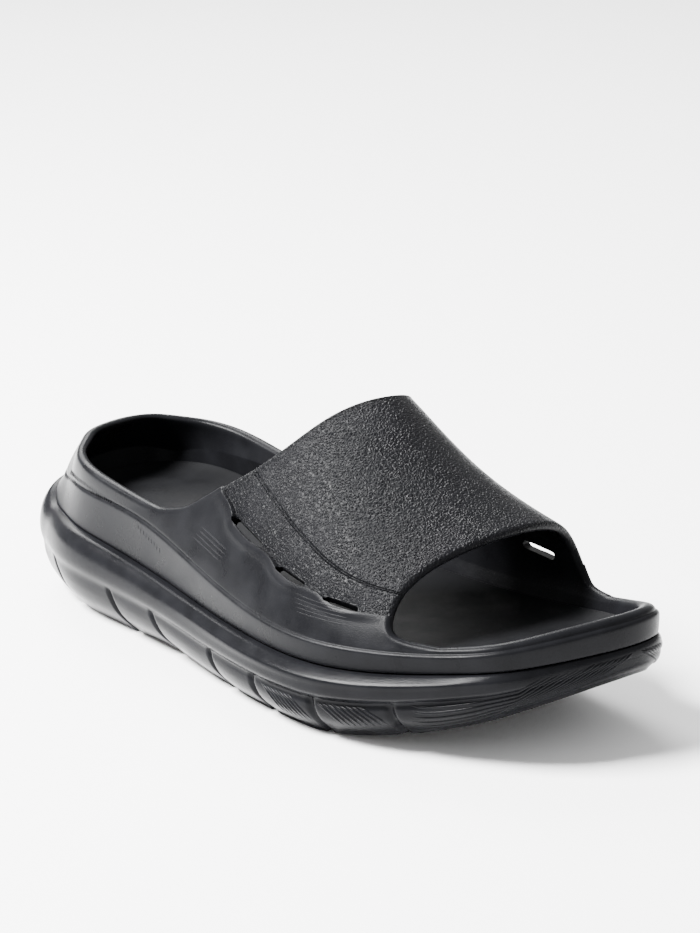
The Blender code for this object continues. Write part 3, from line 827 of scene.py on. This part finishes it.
# Rows of the sole: shares of the side's height downwards, and shares of the way inwards on top and underneath.
SIDE_SHARES = np.concatenate([(0.0, 0.005, 0.011, 0.018), np.linspace(0.026, 0.36, 14),
                              np.linspace(0.38, 0.97, 32)])
SOLE_TOP = (0.80, 0.40, 0.1)
SOLE_UNDER = (0.0, 0.02, 0.05, 0.10, 0.2, 0.35, 0.5, 0.65, 0.80)
# Columns of the sole: where the closer columns of the heel end and those of the toe start, as shares of the
# length, how many there are, and the step between the others.
HEEL_END = 0.03
TOE_START = 0.965
HEEL_PLACES = 26
TOE_PLACES = 30
PLACE_STEP = 0.0021
# How far the first lug reaches behind the first groove and the last lug past the last, as shares of the length.
FIRST_LUG = 0.11
LAST_LUG = 0.10


def sole_row_point(row, side, t):
    """Rows from the middle of the top, over the edge and down the side, to the middle of the bottom."""
    u = along(t)
    low = sole_bottom_z(u)
    if row < len(SOLE_TOP):
        x, y = inward(side, t, SOLE_ROWS[0][2], SOLE_TOP[row])
        return (x, y, seam_z(x / LENGTH + 0.5) - GAP / 2)
    row -= len(SOLE_TOP)
    if row < len(SIDE_SHARES):
        share = SIDE_SHARES[row]
        z = seam_z(u) - GAP / 2 - share * (seam_z(u) - low)
        return solid_point(side, t, sole_side_out(u, side_profiles[row]), z)
    x, y = inward(side, t, bottom_out(u) - BOTTOM_STEP, SOLE_UNDER[row - len(SIDE_SHARES)])
    return (x, y, sole_bottom_z(x / LENGTH + 0.5))


side_profiles = [[share] + [profile(share) for profile in side_curves] for share in SIDE_SHARES]


def sole_places():
    """Places of the sole's columns: evenly along the foot, closer round the ends."""
    heel = [place(HEEL_END) * i / HEEL_PLACES for i in range(HEEL_PLACES)]
    middle = [place(u) for u in np.arange(HEEL_END, TOE_START, PLACE_STEP)]
    front = place(TOE_START)
    return heel + middle + [front + (1 - front) * i / TOE_PLACES for i in range(TOE_PLACES + 1)]


def lug_place(u, share):
    """Nearest groove's distance along the shoe in metres, and the place between grooves as 0 to 1."""
    share = np.maximum(share, GROOVE_TOP)
    lines = np.array([top + (foot - top) * (share - GROOVE_TOP) / (1 - GROOVE_TOP)
                      for top, foot in LUG_GROOVES])
    away = np.min(np.abs(u - lines), axis=0) * LENGTH
    after = np.sum(u > lines, axis=0)
    padded = np.concatenate([lines[:1] - FIRST_LUG, lines, lines[-1:] + LAST_LUG])
    rows = np.arange(len(u))
    low = padded[after, rows]
    high = padded[after + 1, rows]
    return away, np.clip((u - low) / (high - low), 0.0, 1.0)


def make_sole(sizes):
    places = sole_places()
    rows = len(SOLE_TOP) + len(SIDE_SHARES) + len(SOLE_UNDER)
    piece = ring_mesh("sandal_sole", rows, sole_row_point, places)
    mesh = piece.data
    ring = [along(t) for t in places] + [along(t) for t in reversed(places[1:-1])]
    shares = [0.0] * len(SOLE_TOP) + list(SIDE_SHARES) + [1.0] * len(SOLE_UNDER)
    u = np.tile(ring, rows)
    share = np.repeat(shares, len(ring))
    co, normals = read_points(mesh)
    under = share >= 1.0
    u = np.where(under, co[:, 0] / LENGTH + 0.5, u)
    away, between = lug_place(u, share)
    on_lugs = smooth(share, GROOVE_TOP - 0.03, GROOVE_TOP + 0.10)
    groove = np.exp(-(away / sizes.groove_width) ** 2)
    depth = -sizes.groove_depth * groove * on_lugs
    pillow = np.sin(np.pi * between) ** 0.6 * smooth(share, GROOVE_TOP, 0.6) * (1 - smooth(share, 0.85, 1.0))
    depth += sizes.lug_pillow * (pillow - 0.5) * (1 - under) * smooth(share, GROOVE_TOP, 0.6)
    depth *= 1 - smooth(u, 0.93, 0.99)
    co += normals * depth[:, None]
    co[:, 2] = np.maximum(co[:, 2], 0.0)
    mesh.vertices.foreach_set("co", co.ravel())
    mesh.update()
    return piece


def side_spot(side, t, share):
    """Point on the side of the sole, at a share of its height down from the seam."""
    u = along(t)
    row = [share] + [profile(share) for profile in side_curves]
    return solid_point(side, t, sole_side_out(u, row), seam_z(u) - share * (seam_z(u) - sole_bottom_z(u)))


def sole_rib_lines():
    """Lines of the sole's ribs: diagonals between the middle grooves, then long lines that rise at the toe."""
    lines = []
    fall = curve(DIAGONAL_FALL)
    rise = curve(TOE_RISE)
    for side in (LATERAL, MEDIAL):
        for first, last in DIAGONAL_STARTS:
            for start in np.arange(first, last, DIAGONAL_STEP):
                steps = np.linspace(0.0, DIAGONAL_FALL[-1][0], 9)
                lines.append([side_spot(side, place(start + step), fall(step)) for step in steps])
        front = place(TOE_LINES_START)
        for number in range(TOE_LINES):
            end = TOE_FIRST_END + TOE_STEP * number
            level = TOE_FIRST_LEVEL + TOE_LEVEL_STEP * number
            line = []
            for t in np.linspace(front, min(end, 1.0), 60):
                start_dip = TOE_START_DIP * math.exp(-(along(t) - TOE_LINES_START) / TOE_START_REACH)
                before = min(end - t, TOE_RISE[-1][0])
                share = min(level - start_dip, rise(before) + max(end - t - before, 0.0))
                if share < RIB_LOWEST:
                    line.append(side_spot(side, t, share))
            if len(line) > 3:
                lines.append(line)
    return lines


def upper_bead_lines():
    """Fine beads on the wing and short strokes on the heel's wall."""
    lines = []
    for side in (LATERAL, MEDIAL):
        for first, last, count in WING_BEADS:
            for number in range(count):
                shift = number * WING_BEAD_STEP
                line = []
                for share in np.linspace(0.0, 1.0, 12):
                    s = first[0] + (last[0] - first[0]) * share + number * WING_BEAD_LAG
                    v = first[1] + (last[1] - first[1]) * share - shift
                    line.append(strap_point(s, v if side == LATERAL else 1 - v, 0))
                lines.append(line)
        for rows, length, count in HEEL_STROKES:
            for t in np.linspace(rows[0][0], rows[-1][0], count):
                below = np.interp(t, *zip(*rows))
                lines.append([heel_spot(side, t, below + step * length) for step in np.linspace(-0.5, 0.5, 6)])
    return lines


def heel_spot(side, t, above):
    """Point of the heel's outside, at a height over the band's top or, when negative, below it."""
    u = along(t)
    low = band_top(u)
    foot = band_out(u) - crease_in(u)
    if above < 0:
        return solid_point(side, t, band_out(u), low + above)
    share = above / (rim_height(u) * SEAM - low)
    out = foot + share * (rim_out(u) - foot) + COLLAR_BULGE * math.sin(math.pi * min(share, 1.0))
    return solid_point(side, t, out, low + above)


# Sides of a rib, its width at the tip as a share, and how deep ribs and beads sit, as shares of their radius.
RIB_SIDES = 8
RIB_TIP = 0.35
RIB_SUNK = 0.45
BEAD_SUNK = 0.55


def rib_tree():
    """Node group that turns every line of a mesh into a round, tapered rib."""
    tree = bpy.data.node_groups.new("round ribs", "GeometryNodeTree")
    sockets = tree.interface
    sockets.new_socket("Lines", in_out="INPUT", socket_type="NodeSocketGeometry")
    sockets.new_socket("Radius", in_out="INPUT", socket_type="NodeSocketFloat")
    sockets.new_socket("Sides", in_out="INPUT", socket_type="NodeSocketInt")
    sockets.new_socket("Material", in_out="INPUT", socket_type="NodeSocketMaterial")
    sockets.new_socket("Ribs", in_out="OUTPUT", socket_type="NodeSocketGeometry")
    names = {"start": "NodeGroupInput", "line": "GeometryNodeMeshToCurve",
             "ring": "GeometryNodeCurvePrimitiveCircle", "taper": "GeometryNodeInputNamedAttribute",
             "sweep": "GeometryNodeCurveToMesh", "real": "GeometryNodeRealizeInstances",
             "finish": "GeometryNodeSetMaterial", "end": "NodeGroupOutput"}
    node = {name: tree.nodes.new(kind) for name, kind in names.items()}
    node["taper"].data_type = "FLOAT"
    node["taper"].inputs["Name"].default_value = "taper"
    node["sweep"].inputs["Fill Caps"].default_value = True
    for source, output, target, entry in (
            ("start", "Lines", "line", "Mesh"), ("line", "Curve", "sweep", "Curve"),
            ("start", "Radius", "ring", "Radius"), ("start", "Sides", "ring", "Resolution"),
            ("ring", "Curve", "sweep", "Profile Curve"), ("taper", "Attribute", "sweep", "Scale"),
            ("sweep", "Mesh", "real", "Geometry"), ("real", "Geometry", "finish", "Geometry"),
            ("start", "Material", "finish", "Material"), ("finish", "Geometry", "end", "Ribs")):
        tree.links.new(node[source].outputs[output], node[target].inputs[entry])
    return tree


def make_ribs(name, lines, base, radius, sunk):
    """Round ribs along lines laid on a piece, each tapered at both ends."""
    points = []
    edges = []
    taper = []
    for line in lines:
        first = len(points)
        for i, spot in enumerate(line):
            found, at, normal, face = base.closest_point_on_mesh(Vector(spot))
            if not found:
                raise RuntimeError("a rib has no surface under it")
            points.append(at - normal * sunk)
            end = min(i, len(line) - 1 - i) / max(2, len(line) // 8)
            taper.append(RIB_TIP + (1 - RIB_TIP) * min(1.0, end))
        edges += [(i, i + 1) for i in range(first, len(points) - 1)]
    mesh = bpy.data.meshes.new(name)
    mesh.from_pydata([tuple(point) for point in points], edges, [])
    add_value(mesh, "taper", taper)
    piece = bpy.data.objects.new(name, mesh)
    bpy.context.scene.collection.objects.link(piece)
    sweep = piece.modifiers.new("round ribs", "NODES")
    sweep.node_group = rib_tree()
    values = {"Radius": radius, "Sides": RIB_SIDES, "Material": base.data.materials[0]}
    for socket in sweep.node_group.interface.items_tree:
        if socket.in_out == "INPUT" and socket.name in values:
            sweep[socket.identifier] = values[socket.name]
    settle(piece)
    piece.data.shade_smooth()
    return piece


class Term:
    """One output of a node. Sums on it add Math nodes."""

    def __init__(self, paint, socket):
        self.paint = paint
        self.socket = socket

    def sum(self, operation, *terms):
        return self.paint.node("ShaderNodeMath", {"operation": operation}, dict(enumerate(terms)))

    def __add__(self, other):
        return self.sum("ADD", self, other)

    def __sub__(self, other):
        return self.sum("SUBTRACT", self, other)

    def __rsub__(self, other):
        return self.sum("SUBTRACT", other, self)

    def __mul__(self, other):
        return self.sum("MULTIPLY", self, other)

    __radd__ = __add__
    __rmul__ = __mul__


class Paint:
    """A material under construction."""

    def __init__(self, name):
        self.material = bpy.data.materials.new(name)
        self.material.use_nodes = True
        self.tree = self.material.node_tree
        self.shader = self.tree.nodes["Principled BSDF"]

    def node(self, kind, settings=None, inputs=None, output=0):
        """Adds a node: its settings first, then values or links for its sockets."""
        made = self.tree.nodes.new(kind)
        for name, value in (settings or {}).items():
            setattr(made, name, value)
        self.fill(made, inputs or {})
        return Term(self, made.outputs[output])

    def fill(self, node, inputs):
        for name, value in inputs.items():
            if isinstance(value, Term):
                self.tree.links.new(value.socket, node.inputs[name])
            else:
                node.inputs[name].default_value = value

    def mix(self, share, low, high):
        """Colour between two colours."""
        made = self.tree.nodes.new("ShaderNodeMix")
        made.data_type = "RGBA"
        self.fill(made, {0: share, 6: low, 7: high})
        return Term(self, made.outputs[2])

    def step(self, value, low, high):
        """Soft step from 0 at low to 1 at high."""
        return self.node("ShaderNodeMapRange", {"interpolation_type": "SMOOTHSTEP"},
                         {0: value, 1: low, 2: high})

    def noise(self, where, scale, detail, output=0):
        return self.node("ShaderNodeTexNoise", inputs={"Vector": where, "Scale": scale, "Detail": detail},
                         output=output)


# Scales of the textures, in features to a metre.
MOTTLE_SCALE = 90.0
SKIN_SCALE = 2400.0
WOBBLE_SCALE = 420.0
PATCH_SCALE = 700.0
# How far the wobble bends the pebbles' edges and how deep the bump is, in metres.
WOBBLE_REACH = 0.0011
BUMP_REACH = 0.00026
# Strength of the foam's own reflection, and the roughness of each finish.
GLOSS = 0.045
UPPER_ROUGHNESS = 0.31
BED_ROUGHNESS = 0.62
SOLE_ROUGHNESS = 0.20
FLOOR_ROUGHNESS = 0.9


def solid_colour(colour, share=1.0):
    return (*[channel * share for channel in colour], 1.0)


def foam_finish(name, colours, roughness, grain=None, sizes=None):
    """Moulded foam: a faint mottle, a fine skin texture, and pebble grain where the surface asks for it, with
    painted shade darkening the creases between the pebbles.
    """
    paint = Paint(name)
    where = paint.node("ShaderNodeTexCoord", output=3)
    share = paint.step(paint.noise(where, MOTTLE_SCALE, 4.0), 0.3, 0.7)
    fine = paint.noise(where, SKIN_SCALE, 2.0)
    colour = paint.mix(share, solid_colour(colours, 0.82), solid_colour(colours, 1.15))
    rough = roughness - 0.05 + share * 0.10
    height = fine * 0.25
    if grain:
        amount = paint.node("ShaderNodeAttribute", {"attribute_name": grain}, output=2)
        wobble = paint.noise(where, WOBBLE_SCALE, 2.0, output=1)
        bent = paint.node("ShaderNodeVectorMath", {"operation": "SCALE"}, {0: wobble, 3: WOBBLE_REACH})
        moved = paint.node("ShaderNodeVectorMath", {"operation": "ADD"}, {0: where, 1: bent})
        cells = paint.node("ShaderNodeTexVoronoi", {"feature": "DISTANCE_TO_EDGE"},
                           {"Vector": moved, "Scale": 1 / sizes.grain_size})
        pebble = paint.step(cells, 0.0, 0.40)
        patches = paint.noise(where, PATCH_SCALE, 3.0)
        pebbles = (pebble + paint.step(patches, 0.35, 0.65) * 0.25) * amount
        height = height * (1 - amount * 0.5) + pebbles
        rough = rough + amount * 0.04 - pebbles * 0.06
        # Painted shade: the colour is darkened in the creases between the pebbles, though the foam is one colour
        # throughout.
        colour = paint.mix(amount * (1 - pebble) * 0.5, colour, solid_colour(colours, 0.55))
    bump = paint.node("ShaderNodeBump", inputs={"Height": height, "Strength": 1.0, "Distance": BUMP_REACH})
    paint.fill(paint.shader, {"Base Color": colour, "Roughness": rough, "Normal": bump,
                              "Specular IOR Level": GLOSS})
    paint.material.diffuse_color = solid_colour(colours)
    return paint.material


def plain_finish(name, colour, roughness):
    paint = Paint(name)
    paint.fill(paint.shader, {"Base Color": solid_colour(colour), "Roughness": roughness})
    return paint.material


def finish_piece(piece, material, node=None):
    piece.data.materials.clear()
    piece.data.materials.append(material)
    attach(piece, BODY)
    if node:
        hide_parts(node)


def length_value(name, description, default, low=0.0):
    return bpy.props.FloatProperty(
        name=name, description=description, default=default, min=low, unit="LENGTH", subtype="DISTANCE")


class SandalSizes(bpy.types.PropertyGroup):
    """Sizes of the moulded detail."""

    ridge_height: length_value("Wing ridge", "How far the wing's wavy ridge stands out", 0.0006)
    ridge_width: length_value("Ridge width", "Width over which the wing swells up to its ridge", 0.0060)
    line_depth: length_value("Line depth", "Depth of the double line in the panel", 0.0004)
    line_width: length_value("Line width", "Width of each of the two lines", 0.0005)
    line_spacing: length_value("Line spacing", "Distance between the two lines", 0.0010)
    slot_dish: length_value("Slot dish", "How deep the surface dips round a slot", 0.0003)
    groove_depth: length_value("Lug groove depth", "Depth of the grooves between the lugs", 0.0014)
    groove_width: length_value("Lug groove width", "Half width of the grooves between the lugs", 0.0011)
    lug_pillow: length_value("Lug bulge", "How far each lug swells between its grooves", 0.0007)
    rib_radius: length_value("Rib radius", "Radius of the ribs on the side of the sole", 0.0007)
    bead_radius: length_value("Bead radius", "Radius of the fine beads on the wing and the heel's wall", 0.0003)
    grain_size: length_value("Grain size", "Width of one pebble of the panel's grain", 0.0012, 0.0002)


class SandalColours(bpy.types.PropertyGroup):
    """Colours of the foams and of the floor."""

    foam: bpy.props.FloatVectorProperty(
        name="Upper and sole", description="Colour of the moulded foam", subtype="COLOR",
        default=(0.0048, 0.0049, 0.0057), min=0.0, max=1.0)
    bed: bpy.props.FloatVectorProperty(
        name="Footbed", description="Colour of the footbed", subtype="COLOR",
        default=(0.0040, 0.0041, 0.0046), min=0.0, max=1.0)
    floor: bpy.props.FloatVectorProperty(
        name="Floor", description="Colour of the studio floor", subtype="COLOR",
        default=(0.98, 0.98, 0.98), min=0.0, max=1.0)


class SANDAL_OT_upper(bpy.types.Operator):
    """Makes the moulded upper with its panel, ridge, slots and rounded rims"""

    bl_idname = "sandal.upper"
    bl_label = "Upper"

    def execute(self, context):
        sizes = context.scene.sandal_sizes
        piece = make_upper(sizes)
        colour = tuple(context.scene.sandal_colours.foam)
        finish_piece(piece, foam_finish("upper foam", colour, UPPER_ROUGHNESS, "grain", sizes),
                     "upper")
        return {"FINISHED"}


class SANDAL_OT_footbed(bpy.types.Operator):
    """Makes the cupped footbed inside the wall"""

    bl_idname = "sandal.footbed"
    bl_label = "Footbed"

    def execute(self, context):
        piece = make_footbed()
        colour = tuple(context.scene.sandal_colours.bed)
        finish_piece(piece, foam_finish("footbed foam", colour, BED_ROUGHNESS), "footbed")
        return {"FINISHED"}


class SANDAL_OT_sole(bpy.types.Operator):
    """Makes the sole with its shoulder, valley and grooved lugs"""

    bl_idname = "sandal.sole"
    bl_label = "Sole"

    def execute(self, context):
        piece = make_sole(context.scene.sandal_sizes)
        colour = tuple(context.scene.sandal_colours.foam)
        finish_piece(piece, foam_finish("sole foam", colour, SOLE_ROUGHNESS), "sole")
        return {"FINISHED"}


# Camera: where it looks, from how far, its angles, the lens and the shift that the photo's framing needs.
AIM = (-0.00696, 0.0059, 0.03665)
AZIMUTH = 51.0804
ELEVATION = 18.8245
ROLL = -0.9359
DISTANCE = 1.0630
LENS = 110.27
SHIFT = (0.04516, 0.0902)
SENSOR = 36.0
# Half width of the floor, and strength of the white surroundings.
FLOOR_REACH = 6.0
WORLD_STRENGTH = 0.9
# Lights: name, watts, side in metres, then metres to the right, up and back from AIM by the camera's axes.
LIGHTS = (
    ("key", 210.0, 0.6, -0.98, 1.13, 0.45),
    ("rear", 70.0, 1.0, -0.5, 1.9, -1.2),
)


def view_axes():
    """Right, up and back directions of the camera."""
    a = math.radians(AZIMUTH)
    e = math.radians(ELEVATION)
    r = math.radians(ROLL)
    back = Vector((math.sin(a) * math.cos(e), -math.cos(a) * math.cos(e), math.sin(e)))
    right = Vector((math.cos(a), math.sin(a), 0.0))
    up = back.cross(right)
    return right * math.cos(r) + up * math.sin(r), up * math.cos(r) - right * math.sin(r), back


def add_light(name, energy, size, right, up, back):
    """Soft square light placed by the camera's axes, turned to the shoe."""
    axes = view_axes()
    aim = Vector(AIM)
    light = bpy.data.lights.new(name, "AREA")
    light.energy = energy
    light.size = size
    lamp = bpy.data.objects.new(name, light)
    bpy.context.scene.collection.objects.link(lamp)
    at = aim + axes[0] * right + axes[1] * up + axes[2] * back
    lamp.matrix_world = Matrix.Translation(at) @ (at - aim).to_track_quat("Z", "Y").to_matrix().to_4x4()


class SANDAL_OT_sole_ribs(bpy.types.Operator):
    """Makes the ribs on the side of the sole"""

    bl_idname = "sandal.sole_ribs"
    bl_label = "Ribs of the sole"

    def execute(self, context):
        sizes = context.scene.sandal_sizes
        base = bpy.data.objects["sandal_sole"]
        piece = make_ribs("sandal_sole_ribs", sole_rib_lines(), base, sizes.rib_radius,
                          sizes.rib_radius * RIB_SUNK)
        finish_piece(piece, base.data.materials[0], "sole")
        return {"FINISHED"}


class SANDAL_OT_upper_beads(bpy.types.Operator):
    """Makes the fine beads and strokes on the wing and the heel's wall"""

    bl_idname = "sandal.upper_beads"
    bl_label = "Beads of the upper"

    def execute(self, context):
        sizes = context.scene.sandal_sizes
        base = bpy.data.objects["sandal_upper"]
        radius = sizes.bead_radius
        piece = make_ribs("sandal_upper_beads", upper_bead_lines(), base, radius, radius * BEAD_SUNK)
        finish_piece(piece, base.data.materials[0], "upper")
        return {"FINISHED"}


class SANDAL_OT_stage(bpy.types.Operator):
    """Makes the pale floor, the studio lights and the camera at the photo's angle"""

    bl_idname = "sandal.stage"
    bl_label = "Floor, lights and camera"

    def execute(self, context):
        scene = context.scene
        corners = [(x * FLOOR_REACH, y * FLOOR_REACH, 0) for x, y in ((-1, -1), (1, -1), (1, 1), (-1, 1))]
        floor = new_piece("studio_floor", corners, [[0, 1, 2, 3]])
        floor.data.materials.append(plain_finish("floor", tuple(scene.sandal_colours.floor), FLOOR_ROUGHNESS))
        world = bpy.data.worlds.new("studio")
        world.use_nodes = True
        background = world.node_tree.nodes["Background"].inputs
        background["Color"].default_value = (1.0, 1.0, 1.0, 1.0)
        background["Strength"].default_value = WORLD_STRENGTH
        scene.world = world
        for light in LIGHTS:
            add_light(*light)
        camera = bpy.data.cameras.new("camera")
        camera.sensor_width = SENSOR
        camera.lens = LENS
        camera.shift_x, camera.shift_y = SHIFT
        camera.clip_end = 50.0
        holder = bpy.data.objects.new("camera", camera)
        scene.collection.objects.link(holder)
        right, up, back = view_axes()
        turn = Matrix((right, up, back)).transposed().to_4x4()
        holder.matrix_world = Matrix.Translation(Vector(AIM) + back * DISTANCE) @ turn
        scene.camera = holder
        return {"FINISHED"}


OPERATORS = (SANDAL_OT_upper, SANDAL_OT_footbed, SANDAL_OT_sole, SANDAL_OT_sole_ribs, SANDAL_OT_upper_beads,
             SANDAL_OT_stage)


class SANDAL_PT_panel(bpy.types.Panel):
    """Lists the sandal's pieces and their values"""

    bl_idname = "SANDAL_PT_panel"
    bl_label = "Sport slide sandal"
    bl_space_type = "VIEW_3D"
    bl_region_type = "UI"
    bl_category = "Sandal"

    def draw(self, context):
        for operator in OPERATORS:
            self.layout.operator(operator.bl_idname)
        for group in (context.scene.sandal_sizes, context.scene.sandal_colours):
            box = self.layout.box()
            for name in group.__annotations__:
                box.prop(group, name)


CLASSES = (SandalSizes, SandalColours, *OPERATORS, SANDAL_PT_panel)


def register():
    for kind in CLASSES:
        bpy.utils.register_class(kind)
    bpy.types.Scene.sandal_sizes = bpy.props.PointerProperty(type=SandalSizes)
    bpy.types.Scene.sandal_colours = bpy.props.PointerProperty(type=SandalColours)


def unregister():
    del bpy.types.Scene.sandal_colours
    del bpy.types.Scene.sandal_sizes
    for kind in reversed(CLASSES):
        bpy.utils.unregister_class(kind)


def main():
    register()
    sandal = bpy.ops.sandal
    for make in (sandal.upper, sandal.footbed, sandal.sole, sandal.sole_ribs, sandal.upper_beads, sandal.stage):
        if make() != {"FINISHED"}:
            raise RuntimeError("a piece wasn't finished")


if __name__ == "__main__":
    main()
